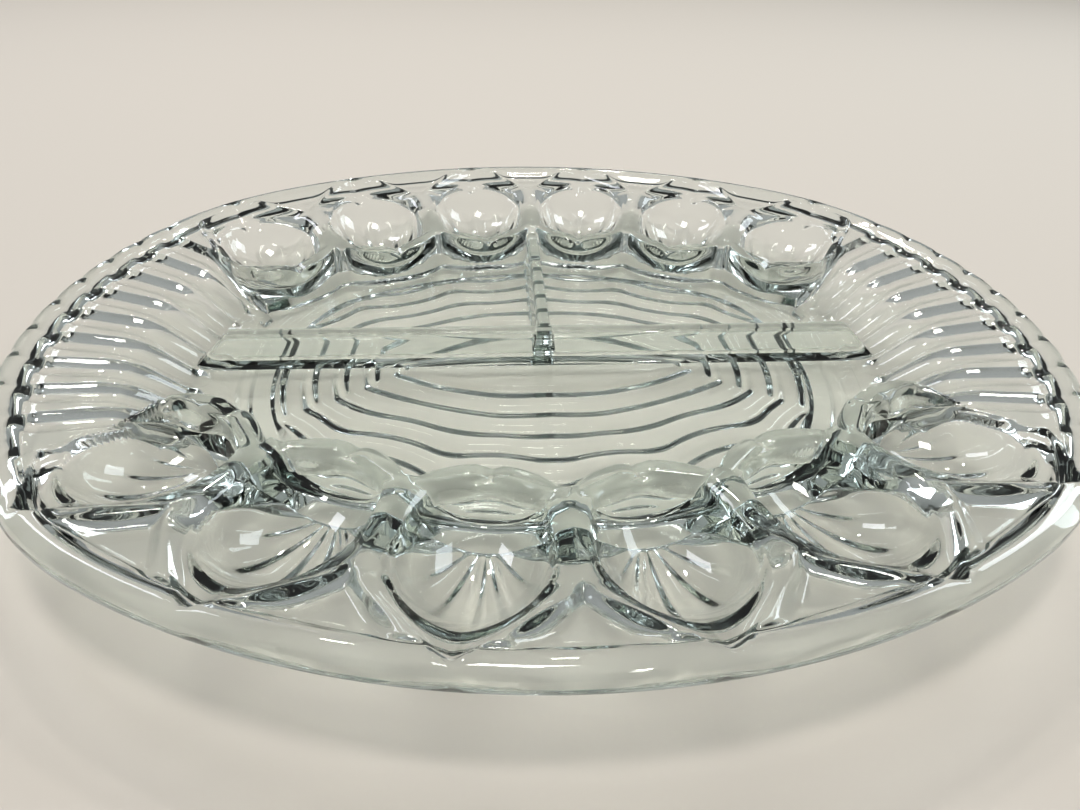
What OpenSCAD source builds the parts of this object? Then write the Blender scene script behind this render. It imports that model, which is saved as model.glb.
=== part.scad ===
// Deviled egg platter in clear pressed glass: an oval tray with six egg wells
// along each long side, fluted shell ends and a divided, ribbed centre basin.
// The origin is on the table under the middle of the oval, with X along its
// length. Lengths are in millimetres.
//
// The outline is an oval of tangent arcs: two side arcs, four corner arcs and
// two end arcs. Everything that follows the outline is swept along these arcs
// from a profile drawn in (inset, height), where the inset is measured square
// to the outline, inwards.

/* [Outline] */
// Overall length of the oval
platter_len = 318; // [310:1:326]
// Overall width of the oval
platter_w = 277; // [272:1:282]
// Radius of the four corner arcs
corner_r = 100; // [96:1:104]
// Direction in which a corner arc meets an end arc
end_break = 30; // [29:0.5:31]

/* [Rim] */
// Height of the rim above the table
rim_h = 28; // [26:0.5:31]
// Width of the flat rim band
rim_w = 8; // [7:0.5:9]
// Height of the outer face of the rim
rim_face_h = 10; // [8:0.5:12]
// Rounding of the upper outer edge of the rim
rim_round = 3; // [1.5:0.5:3.5]
// Rounding of the lower outer edge of the rim
rim_foot_round = 2; // [1:0.5:2.5]
// Number of scallops in the rim at each fluted end
scallops = 11; // [9:2:13]
// Radius of each scallop
scallop_r = 30; // [24:1:40]

/* [Deck] */
// Drop from the rim top to the outer edge of the deck
deck_step = 1.8; // [1:0.2:2.6]
// Fall of the deck for each millimetre inwards
deck_fall = 0.125; // [0.1:0.005:0.15]
// Thickness of the deck
deck_t = 5; // [4:0.5:6]
// Inset of the basin wall from the outline
basin_inset = 56; // [55:0.5:57]
// Distance between neighbouring egg wells along the outline, to within 0.2 mm
well_space = 54.9; // [54:0.1:55.6]

/* [Egg wells] */
// Inset of the outer tip of a well
well_tip = 13; // [12:0.5:14]
// Inset of the deepest part of a well
well_mid = 36; // [34:1:38]
// Inset of the crease between the bowl and its inner wall
well_crease = 57.7; // [56:0.5:59]
// Radius of the bowl at its deepest part
well_r = 18.3; // [17:0.1:19]
// Radius of the bowl at the crease
crease_r = 13.5; // [12.5:0.5:14.5]
// Length of the inner wall above the crease
inner_wall_run = 4.8; // [4:0.2:5.6]
// Height of the axis of the bowl above the deck
axis_lift = 3; // [2:0.5:4]
// Thickness of the bowl
well_t = 3.8; // [3:0.2:4.4]
// Inset of the inner end of the wall that bulges into the basin
bulge_inset = 68.5; // [67.5:0.5:69.5]
// Radius of that wall
bulge_r = 25; // [24:0.5:26]
// How much shorter the corner wells are
corner_short = 5.5; // [4:0.5:6]
// Distance along the corner arc from its first web to the corner well
corner_shift = 26.4; // [25:0.1:28]
// Angle between the axis of a corner well and that web
corner_lean = 5.3; // [4:0.1:7]
// Distance from a corner well's axis to the edge of the fluted end
corner_half = 18.5; // [18:0.5:19.5]

// Number of flutes under each bowl
bowl_flutes = 7; // [3:2:7]
// Angle between neighbouring flutes under a bowl
bowl_flute_pitch = 16; // [15:0.5:17]
// Radius of each flute under a bowl
bowl_flute_r = 3.4; // [3:0.1:4]
// Depth of each flute under a bowl
bowl_flute_d = 0.9; // [0.6:0.1:1.1]

/* [Webs between wells] */
// Width of the square tab at the inner end of a web
tab_w = 7.5; // [6:0.5:9]
// Distance by which a tab reaches past the basin wall
tab_reach = 4; // [3:0.5:4.5]
// Height of the pad on a tab above the deck
tab_rise = 0.8; // [0.4:0.2:1.2]
// Inset of the wide side of the triangular flat
flat_outer = 10; // [10:0.5:12]
// Inset of the point of the triangular flat
flat_inner = 28; // [25:0.5:29]
// Width of the triangular flat
flat_w = 30; // [24:1:31]
// Depth of the triangular flat under the deck
flat_d = 1.6; // [1:0.2:2.2]

// Inset of the point of the V-shaped lip of each well
lip_start = 4.5; // [4:0.5:5.5]
// Fall of the groove of a lip for each millimetre inwards
lip_fall = 0.46; // [0.4:0.02:0.5]
// Rise of its sides for each millimetre sideways
lip_side = 0.4; // [0.35:0.05:0.5]

/* [Fluted ends] */
// Number of flutes at each end
end_flutes = 9; // [7:2:9]
// Angle between neighbouring flutes
flute_pitch = 6; // [5.8:0.1:6.2]
// Radius of the scoop of a flute
flute_r = 14; // [13:0.5:16]
// Depth of the scoop of a flute
flute_d = 1.5; // [1:0.1:1.8]
// Inset where the scoop of a flute starts
flute_start = 15; // [14:0.5:17]
// Slope of the shell next to the rim
shell_slope = 12; // [10:0.5:14]
// Slope of the shell where it drops to the basin
shell_drop = 42; // [40:1:44]
// Width of the floor between the foot of the shell and the edge of the basin
foot_land = 7.6; // [7:0.2:9]
// Distance from the turn between the slopes to where its rounding starts
turn_side = 6; // [4:0.5:7]
// Radius of the foot of the shell at the basin floor
foot_turn_r = 12; // [9:1:14]
// Thickness of the shell
shell_t = 4.6; // [4:0.2:5.5]

/* [Basin] */
// Height of the basin floor above the table
floor_z = 7; // [6.5:0.5:8]
// Thickness of the basin floor
floor_t = 4.5; // [4:0.25:5]
// Number of ribs under the floor, each a closed wavy line
floor_ribs = 6; // [4:1:6]
// Distance from the basin wall to the first rib
rib_first = 3.2; // [2:0.2:4]
// Distance between neighbouring ribs
rib_pitch = 10; // [9:0.5:11]
// Height of each rib
rib_h = 1; // [0.6:0.1:1.4]
// Width of each rib
rib_w = 4; // [3:0.5:5]
// Height of the dividers above the table
divider_h = 19; // [17:0.5:20.5]
// Thickness of a divider at its top
divider_top = 4; // [3:0.5:5]
// Thickness of a divider at the floor
divider_foot = 7; // [6:0.5:8]
// Width of the foot ring
foot_w = 5; // [4:0.5:6]
// Distance from the basin wall to the foot ring
foot_inset = 8; // [7:0.5:12]

/* [Hidden] */
$fn = 72;
glass = [0.78, 0.86, 0.84, 0.55];
far = 400;
over = 1;
weld = 0.01;

// Radii and centres of the arcs, from the tangency of neighbouring arcs
half_len = platter_len / 2;
half_w = platter_w / 2;
function turn(length, r) = length / r * 180 / PI;
// Radii of the side and end arcs when the corner arc starts at direction a
function radii(a) = let(
    s = sin(a) - 1, c = cos(a), se = sin(end_break), ce = 1 - cos(end_break),
    need_w = corner_r * (1 + s - se) - half_w, need_len = half_len + corner_r * (c + ce - 1)
) [need_w * ce + se * need_len, s * need_len - c * need_w] / (s * ce + se * c);
// Each side arc carries four wells, so its radius is found step by step
settle_steps = 40;
function settle(r, n) = n == 0 ? r : settle(radii(90 - 2 * turn(well_space, r))[0], n - 1);
// Neighbouring arcs meet exactly where their directions are whole steps
pitch_step = 0.1;
well_pitch = pitch_step * round(turn(well_space, settle(half_len, settle_steps)) / pitch_step);
side_break = 90 - 2 * well_pitch;
side_r = radii(side_break)[0];
end_r = radii(side_break)[1];
corner_place = side_break - turn(corner_shift, corner_r);
corner_axis = side_break - corner_lean;
side_c = [0, half_w - side_r];
corner_c = side_c + (side_r - corner_r) * dir(side_break);
end_c = [half_len - end_r, 0];

// Heights and slopes
deck_z0 = rim_h - deck_step;
deck_slope = atan(deck_fall);
floor_under = floor_z - floor_t;
flute_span = flute_pitch * end_flutes / 2;
edge_skew = 1 / cos(corner_axis - end_break);
side_wall_t = 5;
inner_wall_t = 6;
tab_root = 9;
ring_steps = 12;
wall_top_r = 0.8 * axis_lift;
tab_gap = 1;
lip_end = (well_tip + well_mid) / 2;
flute_from = -125;
flute_arc = 70;
web_back = 60;
edge_back = 75;
sweep_past = 5;
divider_bevel = 1;

function dir(a) = [cos(a), sin(a)];
function deck_z(u) = deck_z0 - deck_fall * (u - rim_w);
// Points of an arc about c from angle a to angle b
function arc(c, r, a, b, n) = [for (i = [0:n]) c + r * dir(a + (b - a) * i / n)];
// Radius of the circle through the axis point at distance run and the widest point
function bow_r(run, rise) = (run * run + rise * rise) / (2 * rise);

// Line of the fluted shell from the rim to the floor: its upper side, or its
// underside where it is dropped by the thickness
shell_mid = (shell_slope + shell_drop) / 2;
fall = deck_z0 + rim_w * tan(shell_slope) - floor_z;
shell_turn = (basin_inset - foot_land - fall / tan(shell_drop)) / (1 - tan(shell_slope) / tan(shell_drop));
turn_p = [shell_turn, deck_z0 - (shell_turn - rim_w) * tan(shell_slope)];
turn_a = turn_p - turn_side * dir(-shell_slope);
turn_b = turn_p + turn_side * dir(-shell_drop);
foot_side = foot_turn_r * tan(shell_drop / 2);
foot_p = [shell_turn + (turn_p[1] - floor_z) / tan(shell_drop), floor_z];
foot_c = foot_p + [foot_side, foot_turn_r];
function under(slope) = dir(-90 - slope);
function shell_line(drop) = concat(
    [
        [rim_w, deck_z0 - drop],
        turn_a + drop * under((shell_slope + shell_mid) / 2),
        turn_b + drop * under((shell_mid + shell_drop) / 2)
    ],
    arc(foot_c, foot_turn_r + drop, 270 - shell_drop, 270, 3),
    [[basin_inset, floor_z - drop]]
);
function backwards(line) = [for (i = [len(line) - 1:-1:0]) line[i]];

// Sweeps: children are profiles in (inset, height)
module sweep_arc(c, r, a, b) {
    translate([c[0], c[1], 0]) rotate([0, 0, a]) rotate_extrude(angle = b - a)
        translate([r, 0]) mirror([1, 0]) children();
}
// Sweep along the stretch of the outline that one well stands on
module well_sweep(k) {
    if (k < 2) {
        sweep_arc(side_c, side_r, side_break - sweep_past, 90 + sweep_past) children();
    } else {
        sweep_arc(corner_c, corner_r, 0, side_break + sweep_past) children();
    }
}
module both_ways(v) {
    children();
    mirror(v) children();
}

// Outline at an inset as one line of short straight steps
function rest(line) = [for (i = [1:len(line) - 1]) line[i]];
function quarter_line(inset) = concat(
    arc(end_c, end_r - inset, 0, end_break, ring_steps),
    rest(arc(corner_c, corner_r - inset, end_break, side_break, ring_steps)),
    rest(arc(side_c, side_r - inset, side_break, 90, ring_steps))
);
function half_line(q) = concat(q, rest([for (p = backwards(q)) [-p[0], p[1]]]));
function full_line(h) = concat(h, [for (i = [len(h) - 2:-1:1]) [h[i][0], -h[i][1]]]);
module oval(inset) { polygon(full_line(half_line(quarter_line(inset)))); }

// Places of the wells: 0 and 1 on the side arc, 2 on the corner arc.
// In a well's own frame +X runs inwards from the outline, along its axis.
function well_dir(k) = k == 2 ? corner_axis : 90 - well_pitch * (k + 0.5);
function well_origin(k) = k == 2
    ? corner_c + corner_r * dir(corner_place)
    : side_c + side_r * dir(well_dir(k));
function well_cut(k) = k == 2 ? corner_short : 0;
module at_well(k) {
    o = well_origin(k);
    translate([o[0], o[1], 0]) rotate([0, 0, well_dir(k) + 180]) children();
}
module at_web(j) {
    a = 90 - well_pitch * j;
    o = side_c + side_r * dir(a);
    translate([o[0], o[1], 0]) rotate([0, 0, a + 180]) children();
}

// Share of the plan that belongs to one well: to the middle of each web
fluted_edge = well_origin(2) + corner_half * dir(corner_axis - 90);
module well_share(k) {
    a = 90 - well_pitch * k;
    b = a - well_pitch;
    if (k < 2) {
        polygon([side_c, side_c + far * dir(a), side_c + far * dir(b)]);
    } else {
        polygon([
            side_c + web_back * dir(a), side_c + far * dir(a),
            fluted_edge + far * dir(corner_axis), fluted_edge - edge_back * dir(corner_axis)
        ]);
    }
}
module bulge(k) {
    at_well(k) translate([bulge_inset - well_cut(k) - bulge_r, 0]) circle(bulge_r, $fn = 120);
}
module tab(j) {
    at_web(j) translate([basin_inset - tab_root, -tab_w / 2]) square([tab_root + tab_reach, tab_w]);
}
// Plan of a well: its share, without the foot of the slope beside a corner well
bulge_exit = bulge_inset - corner_short - bulge_r + sqrt(bulge_r * bulge_r - corner_half * corner_half);
module well_zone(k) {
    difference() {
        well_share(k);
        if (k == 2) difference() {
            at_well(k) translate([bulge_exit, 0]) square([far, 3 * corner_half]);
            bulge(k);
        }
    }
}

// Solid of revolution of a bowl, grown by the wall
module bowl(k, wall) {
    crease = well_crease - well_cut(k);
    nose_r = bow_r(well_mid - well_tip, well_r);
    tail_r = bow_r(crease - well_mid, well_r - crease_r);
    end = crease + inner_wall_run;
    translate([0, 0, deck_z(0) + axis_lift]) rotate([0, deck_slope, 0]) rotate([0, 90, 0])
        rotate_extrude() intersection() {
            union() {
                intersection() {
                    translate([well_r - nose_r, well_mid]) circle(nose_r + wall, $fn = 120);
                    square([far, well_mid]);
                }
                intersection() {
                    translate([well_r - tail_r, well_mid]) circle(tail_r + wall, $fn = 160);
                    translate([0, well_mid]) square([far, crease - well_mid]);
                }
                translate([0, crease - weld]) polygon([
                    [0, 0], [crease_r + wall, 0], [wall_top_r + wall, end - crease], [0, end - crease]
                ]);
            }
            square([far, end + wall]);
        }
}
// Flute under a bowl, along its line from the tip to the crease
module bowl_flute(roll) {
    nose_r = bow_r(well_mid - well_tip, well_r);
    translate([0, 0, deck_z(0) + axis_lift]) rotate([0, deck_slope, 0]) rotate([roll, 0, 0])
        translate([well_mid, 0, nose_r - well_r]) rotate([90, 0, 0]) rotate([0, 0, flute_from])
            rotate_extrude(angle = flute_arc) translate([nose_r + well_t + bowl_flute_r - bowl_flute_d, 0])
                circle(bowl_flute_r, $fn = 32);
}
// Groove that makes the V-shaped lip at the tip of a well
module lip_groove() {
    translate([lip_start, 0, rim_h]) rotate([90, 0, 90]) multmatrix([
        [1, 0, 0, 0], [0, 1, -lip_fall, 0], [0, 0, 1, 0]
    ]) linear_extrude(lip_end - lip_start) polygon([[0, 0], [far, lip_side * far], [-far, lip_side * far]]);
}
// Block of the wall between bowl and basin, under the deck
module inner_wall(k) {
    translate([0, 0, floor_under]) linear_extrude(rim_h) {
        intersection() {
            bulge(k);
            at_well(k) translate([well_crease - well_cut(k) - inner_wall_t, -far / 2]) square([far, far]);
        }
        tab(k);
        if (k < 2) tab(k + 1);
    }
}
// Everything over the underside of the fluted shell, drawn along its skew edge
module over_shell() {
    polygon(concat(
        [for (p = shell_line(shell_t)) [p[0] * edge_skew, p[1]]],
        [[basin_inset * edge_skew, rim_h], [rim_w * edge_skew, rim_h]]
    ));
}
module deck_sweep(k, thick, inner) {
    well_sweep(k) polygon([
        [rim_w, deck_z(rim_w) - thick], [rim_w, deck_z(rim_w)],
        [inner, deck_z(inner)], [inner, deck_z(inner) - thick]
    ]);
}
module egg_well(k) {
    color(glass) difference() {
        intersection() {
            linear_extrude(rim_h + over) well_zone(k);
            union() {
                deck_sweep(k, deck_t, basin_inset);
                intersection() {
                    deck_sweep(k, rim_h, bulge_inset + over);
                    union() {
                        at_well(k) bowl(k, well_t);
                        inner_wall(k);
                        if (k == 2) corner_side_wall();
                    }
                }
            }
        }
        at_well(k) bowl(k, 0);
        for (j = [k, k + 1]) web_flat(j);
        at_well(k) {
            lip_groove();
            for (i = [0:bowl_flutes - 1]) bowl_flute((i - (bowl_flutes - 1) / 2) * bowl_flute_pitch);
        }
    }
    color(glass) for (j = [k:min(k + 1, 2)]) tab_pad(k, j);
}
// Triangular flat, parallel to the deck
module web_flat(j) {
    at_web(j) multmatrix([[1, 0, 0, 0], [0, 1, 0, 0], [-deck_fall, 0, 1, deck_z(0) - flat_d]])
        linear_extrude(far) polygon([[flat_inner, 0], [flat_outer, flat_w / 2], [flat_outer, -flat_w / 2]]);
}
// Half of the pad on a tab, rooted in the deck
module tab_pad(k, j) {
    side = 2 * tab_reach - tab_gap;
    intersection() {
        at_web(j) translate([basin_inset - side / 2, -side / 2, deck_z(basin_inset) - over])
            cube([side, side, over + tab_rise]);
        linear_extrude(far) well_share(k);
    }
}
// Wall between a corner well and the fluted end, down to the shell
module corner_side_wall() {
    translate([fluted_edge[0], fluted_edge[1], 0]) rotate([0, 0, corner_axis + 180])
        rotate([90, 0, 0]) linear_extrude(2 * side_wall_t, center = true) over_shell();
}

module rim_profile(extra = 0) {
    translate([0, rim_h - rim_face_h]) union() {
        translate([rim_round, rim_face_h - rim_round]) circle(rim_round, $fn = 48);
        translate([rim_round, 0]) square([rim_w + extra - rim_round, rim_face_h]);
        translate([0, rim_foot_round]) square([rim_round + weld, rim_face_h - rim_round - rim_foot_round]);
        translate([rim_foot_round, rim_foot_round]) circle(rim_foot_round, $fn = 48);
        translate([rim_foot_round, 0]) square([rim_round, rim_foot_round + weld]);
    }
}
module rim_band() {
    color(glass) difference() {
        rim_body();
        both_ways([1, 0, 0]) both_ways([0, 1, 0]) for (k = [0:2]) at_well(k) lip_groove();
    }
}
module rim_body() {
    union() {
        both_ways([0, 1, 0]) sweep_arc(side_c, side_r, side_break, 180 - side_break) rim_profile();
        both_ways([0, 1, 0]) both_ways([1, 0, 0]) sweep_arc(corner_c, corner_r, end_break, side_break)
            rim_profile();
        both_ways([1, 0, 0]) intersection() {
            sweep_arc(end_c, end_r, -end_break, end_break) translate([-over, 0]) rim_profile(over);
            linear_extrude(rim_h + over) translate(end_c) for (i = [0:scallops - 1])
                rotate((2 * i / (scallops - 1) - 1) * end_break) translate([end_r - scallop_r, 0])
                    circle(scallop_r, $fn = 96);
        }
    }
}

// Rod along +Z from the origin with round ends
module rod(r, h, round_start, round_end) {
    rotate_extrude($fn = 64) intersection() {
        union() {
            square([r, h]);
            if (round_start) circle(r, $fn = 64);
            if (round_end) translate([0, h]) circle(r, $fn = 64);
        }
        translate([0, -r]) square([r, h + 2 * r]);
    }
}
// Scoop of one flute, in a frame where +X runs inwards from the outline. Three
// rods follow the two slopes of the shell and the rounding between them.
module scoop_rod(from, slope, run, round_start, round_end) {
    p = from - (flute_r - flute_d) * under(slope);
    translate([p[0], 0, p[1]]) rotate([0, 90 + slope, 0]) rod(flute_r, run, round_start, round_end);
}
module scoop() {
    past = 3;
    start = turn_p - (shell_turn - flute_start) / cos(shell_slope) * dir(-shell_slope);
    scoop_rod(start, shell_slope, norm(turn_a - start) + past, true, false);
    scoop_rod(turn_a - past * dir(-shell_mid), shell_mid, norm(turn_b - turn_a) + 2 * past, false, false);
    scoop_rod(turn_b - past * dir(-shell_drop), shell_drop, norm(foot_p - turn_b) - foot_side, false, true);
}
module flute_at(i) {
    translate([end_c[0], 0, 0]) rotate([0, 0, (i + 0.5) * flute_pitch - flute_span])
        translate([end_r, 0, 0]) rotate([0, 0, 180]) scoop();
}
module shell_sweep(half_angle) {
    sweep_arc(end_c, end_r, -half_angle, half_angle)
        polygon(concat(shell_line(0), backwards(shell_line(shell_t))));
}
// Shell with its first n flutes, which are cut one after the other
module fluted_shell(n) {
    difference() {
        if (n > 0) {
            fluted_shell(n - 1);
        } else {
            shell_sweep(end_break + sweep_past);
        }
        if (n > 0) {
            flute_at(n - 1);
        } else {
            linear_extrude(rim_h + over) both_ways([0, 1]) well_zone(2);
        }
    }
}
module fluted_end() {
    color(glass) fluted_shell(end_flutes);
}
module fluted_end_right() { fluted_end(); }
module fluted_end_left() { mirror([1, 0, 0]) fluted_end(); }

// Plan of the basin
module basin() {
    difference() {
        oval(basin_inset);
        both_ways([1, 0]) both_ways([0, 1]) for (k = [0:2]) {
            tab(k);
            intersection() {
                bulge(k);
                well_share(k);
            }
        }
    }
}
// Plan inside a line that keeps the distance d from the shell and the wells
module ripple(d) {
    inset = basin_inset + d;
    difference() {
        intersection() {
            translate(end_c) circle(end_r - inset, $fn = 160);
            translate(-end_c) circle(end_r - inset, $fn = 160);
            translate(side_c) circle(side_r - inset, $fn = 240);
            translate(-side_c) circle(side_r - inset, $fn = 240);
        }
        both_ways([1, 0]) both_ways([0, 1]) for (k = [0:2]) at_well(k)
            translate([bulge_inset - well_cut(k) - bulge_r, 0]) circle(bulge_r + d, $fn = 120);
    }
}
// Rib under the floor, inside the foot ring
module floor_rib(i) {
    d = rib_first + i * rib_pitch;
    translate([0, 0, floor_under - rib_h]) linear_extrude(rib_h + over) intersection() {
        difference() {
            ripple(d);
            ripple(d + rib_w);
        }
        oval(basin_inset + foot_inset + foot_w + over);
    }
}
module compartment_floor() {
    color(glass) union() {
        translate([0, 0, floor_under]) linear_extrude(floor_t) basin();
        for (i = [0:floor_ribs - 1]) floor_rib(i);
    }
}
module divider_profile() {
    polygon([
        [-divider_foot / 2, floor_z], [-divider_top / 2, divider_h - divider_bevel],
        [divider_bevel - divider_top / 2, divider_h], [divider_top / 2 - divider_bevel, divider_h],
        [divider_top / 2, divider_h - divider_bevel], [divider_foot / 2, floor_z]
    ]);
}
// The ends of the long divider fall with the shell that they run into
module long_divider() {
    tail = divider_h - floor_z;
    top_len = platter_len - 2 * basin_inset;
    color(glass) difference() {
        intersection() {
            rotate([90, 0, 90]) translate([0, 0, -half_len]) linear_extrude(platter_len) divider_profile();
            rotate([90, 0, 0]) translate([0, 0, -divider_foot]) linear_extrude(2 * divider_foot) polygon([
                [-top_len / 2, divider_h], [top_len / 2, divider_h],
                [top_len / 2 + tail, floor_z], [-top_len / 2 - tail, floor_z]
            ]);
        }
        both_ways([1, 0, 0]) difference() {
            shell_sweep(flute_pitch);
            flute_at((end_flutes - 1) / 2);
        }
    }
}
module cross_divider() {
    color(glass) difference() {
        intersection() {
            rotate([90, 0, 180]) linear_extrude(half_w) divider_profile();
            linear_extrude(rim_h) basin();
        }
        rotate([90, 0, 90]) translate([0, 0, -half_w]) linear_extrude(platter_w) divider_profile();
    }
}
module foot_ring() {
    color(glass) linear_extrude(floor_under) difference() {
        oval(basin_inset + foot_inset);
        oval(basin_inset + foot_inset + foot_w);
    }
}

// The six wells of a long side run from left to right
module place_well(i, side) {
    k = i <= 3 ? 3 - i : i - 4;
    mirror([i <= 3 ? 1 : 0, 0, 0]) mirror([0, side < 0 ? 1 : 0, 0]) egg_well(k);
}
module egg_well_front_1() { place_well(1, -1); }
module egg_well_front_2() { place_well(2, -1); }
module egg_well_front_3() { place_well(3, -1); }
module egg_well_front_4() { place_well(4, -1); }
module egg_well_front_5() { place_well(5, -1); }
module egg_well_front_6() { place_well(6, -1); }
module egg_well_back_1() { place_well(1, 1); }
module egg_well_back_2() { place_well(2, 1); }
module egg_well_back_3() { place_well(3, 1); }
module egg_well_back_4() { place_well(4, 1); }
module egg_well_back_5() { place_well(5, 1); }
module egg_well_back_6() { place_well(6, 1); }

rim_band();
fluted_end_left();
fluted_end_right();
egg_well_front_1();
egg_well_front_2();
egg_well_front_3();
egg_well_front_4();
egg_well_front_5();
egg_well_front_6();
egg_well_back_1();
egg_well_back_2();
egg_well_back_3();
egg_well_back_4();
egg_well_back_5();
egg_well_back_6();
compartment_floor();
long_divider();
cross_divider();
foot_ring();
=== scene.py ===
"""Clear pressed-glass egg platter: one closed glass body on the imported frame.

The upper and lower skins are height fields over the plan, in millimetres. They
follow the plan and sizes of the CAD, with rounder edges and finer relief. They
share one grid, whose rows follow the outline inwards and close on a strip along
the long divider.
"""

import math

import bpy
import numpy as np
from mathutils import Matrix, Vector


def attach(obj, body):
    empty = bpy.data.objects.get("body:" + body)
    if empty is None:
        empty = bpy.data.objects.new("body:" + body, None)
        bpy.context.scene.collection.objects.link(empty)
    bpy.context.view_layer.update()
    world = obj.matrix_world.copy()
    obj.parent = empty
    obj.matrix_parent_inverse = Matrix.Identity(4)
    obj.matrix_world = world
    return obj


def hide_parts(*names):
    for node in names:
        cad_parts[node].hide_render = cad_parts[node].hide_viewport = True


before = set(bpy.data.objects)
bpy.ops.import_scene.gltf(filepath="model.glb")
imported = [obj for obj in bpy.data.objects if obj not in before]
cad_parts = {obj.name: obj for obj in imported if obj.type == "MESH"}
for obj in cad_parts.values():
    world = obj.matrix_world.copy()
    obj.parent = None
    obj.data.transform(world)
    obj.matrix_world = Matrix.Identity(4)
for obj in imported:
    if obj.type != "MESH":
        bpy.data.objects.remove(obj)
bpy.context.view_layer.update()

MM = 0.001

# Sizes are in millimetres and angles in degrees, unless a comment says otherwise.
# An inset is a distance inwards from the outline, along its normal.

# Plan: each quarter of the outline is an end arc, a corner arc and a side arc
LENGTH = 318.0
WIDTH = 277.0
CORNER_R = 100.0
END_BREAK = 30.0  # direction at which the end arc meets the corner arc
BASIN_INSET = 56.0

# Rim
RIM_H = 28.0
RIM_W = 8.0
RIM_FACE = 7.6  # height of the outer face
RIM_ROUND = 3.6  # rounding of the face's upper edge
RIM_FOOT = 3.2  # rounding of its lower edge
RIM_CROWN = 1.2  # fall of the crowned top towards its inner edge
CROWN_LINE = 3.9  # inset of the crown's highest line, and of the belly's lowest
RIM_BELLY = 2.4  # rise of the rounded underside towards its inner edge
SIDE_SHY = 1.5  # how far the edge stands inside the outline in the middle of a long side
SCALLOPS = 11
SCALLOP_R = 30.0  # radius of each lobe

# Where the rim's shape changes, by inset or by distance past the edge to the fluted end:
# each pair says where the change starts and where it is complete
RIM_SHOULDER = (3.0, 10.2)  # step from the rim to the shell of an end
RIM_BLEND = (7.4, 9.4)  # from the rim's top to what lies inside it
BELLY_BLEND = (7.0, 10.0)  # the same for its underside
RIM_TO_END = (-5.0, 3.0)  # from the crowned top to the stepped one
RIM_OVER_END = (-8.0, -5.0)  # from here on the rim's top covers the lips of the wells
BELLY_TO_END = (-30.0, -4.0)  # from the belly to the underside of the shell

# Deck between the wells
DECK_STEP = 1.8  # step down from the rim
DECK_FALL = 0.125  # slope inwards
DECK_T = 5.0

# Egg wells, by the distance inwards along their axis
WELL_SPACE = 54.9  # from well to well, along the side arc
PITCH_ROUNDS = 40  # enough for the side arc's radius to settle
TIP = 13.0  # outer end of the bowl
MID = 36.0  # its widest section
CREASE = 57.7  # where the bowl meets the inner wall
WELL_R = 18.3  # radius of the widest section
CREASE_R = 13.5  # radius at the crease
CREASE_SOFT = 2.6
AXIS_LIFT = 3.0  # height of the bowl's axis over the deck
WALL_RUN = 4.8  # run of the bowl's steep inner side along the axis
WALL_TOP_R = 0.8 * AXIS_LIFT  # what is left of the bowl's radius at the top of the inner wall
WELL_T = 3.8
OUTSIDE_SLOPE = 6  # slope beside a bowl, where its section has no height
BOWL_SOFT = 1.4  # rounding between the bowls and the surfaces round them
UNDER_SOFT = 1.2
MIN_BOWL_R = 0.1  # keeps the petals defined where a bowl has no radius

# Corner wells, which lean away from the side arc
CORNER_WELL = 2
CORNER_SHORT = 5.5  # how much shorter they are
CORNER_SHIFT = 26.4  # distance along the corner arc from the side arc
CORNER_LEAN = 5.3
CORNER_HALF = 18.5  # distance of the edge to the fluted end from their axis
CORNER_SOFT = 6.0  # rounding where the raised zone turns into the fluted end

# V-shaped lips of the wells
LIP_START = 3.6
LIP_FALL = 0.43
LIP_SIDE = 0.38
LIP_EDGE = 2.1  # height of the steep edge
LIP_EDGE_FALL = 0.5  # depth over which the steep edge settles
LIP_FADE = (20.0, 44.0)  # distances along the axis over which the lip rises out of the way
LIP_SOFT = 0.7
LIP_UNDER_SOFT = 1.0

# Petals under the bowls
PETAL_STEP = 20.0  # angle from petal to petal
PETAL_D = 1.5
PETAL_ROOT = 1.5  # distance of the fan's middle from the crease
PETAL_FADE = 14.0  # distance from the middle at which they are full
PETAL_TIP_FADE = (TIP + 3.0, TIP + 13.0)  # distances along the axis over which they set in
PETAL_ROOT_FADE = 3.0  # length over which they end at the fan's middle

# Inner walls, which bulge into the basin
BULGE_INSET = 68.5
BULGE_R = 25.0
ZONE_SOFT = 0.8
WALL_SLOPE = 2.5
WALL_STEEPER = 3.5  # added to the slope at the insets of WALL_STEEPEN
WALL_STEEPEN = (15.0, 40.0)
WALL_SHIFT = 1.6  # how far outwards of the raised zone's edge a wall is as high as the rim
WALL_SOFT = 1.6

# Webs: rolled crests beside the wells, a triangular hollow, and a tab at the basin
ROLL_W = 5.5
ROLL_SINK = 0.8  # depth of the well's edge under the deck
ROLL_RISE = 2.0
ROLL_RISE_RIM = 0.6  # more of it next to the rim
ROLL_RIM = (8.0, 30.0)  # insets over which that part fades
HOLLOW = 3.0
HOLLOW_OUT = 9.0  # inset of the triangle's long side
HOLLOW_IN = 25.0  # inset of its point
HOLLOW_W = 32.0
HOLLOW_SOFT = 4.0
HOLLOW_SHIFT = 1.0
HOLLOW_FLANK = (-1.6, 3.6)  # distances inside the triangle over which the hollow sinks
TAB_W = 6.0
TAB_REACH = 3.8
TAB_ROUND = 1.2
TAB_RISE = 1.2
PAD_W = 5.0
PAD_LEN = 6.6
PAD_FLANK = (-1.2, 0.8)  # distances from the pad's edge over which it ends

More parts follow.
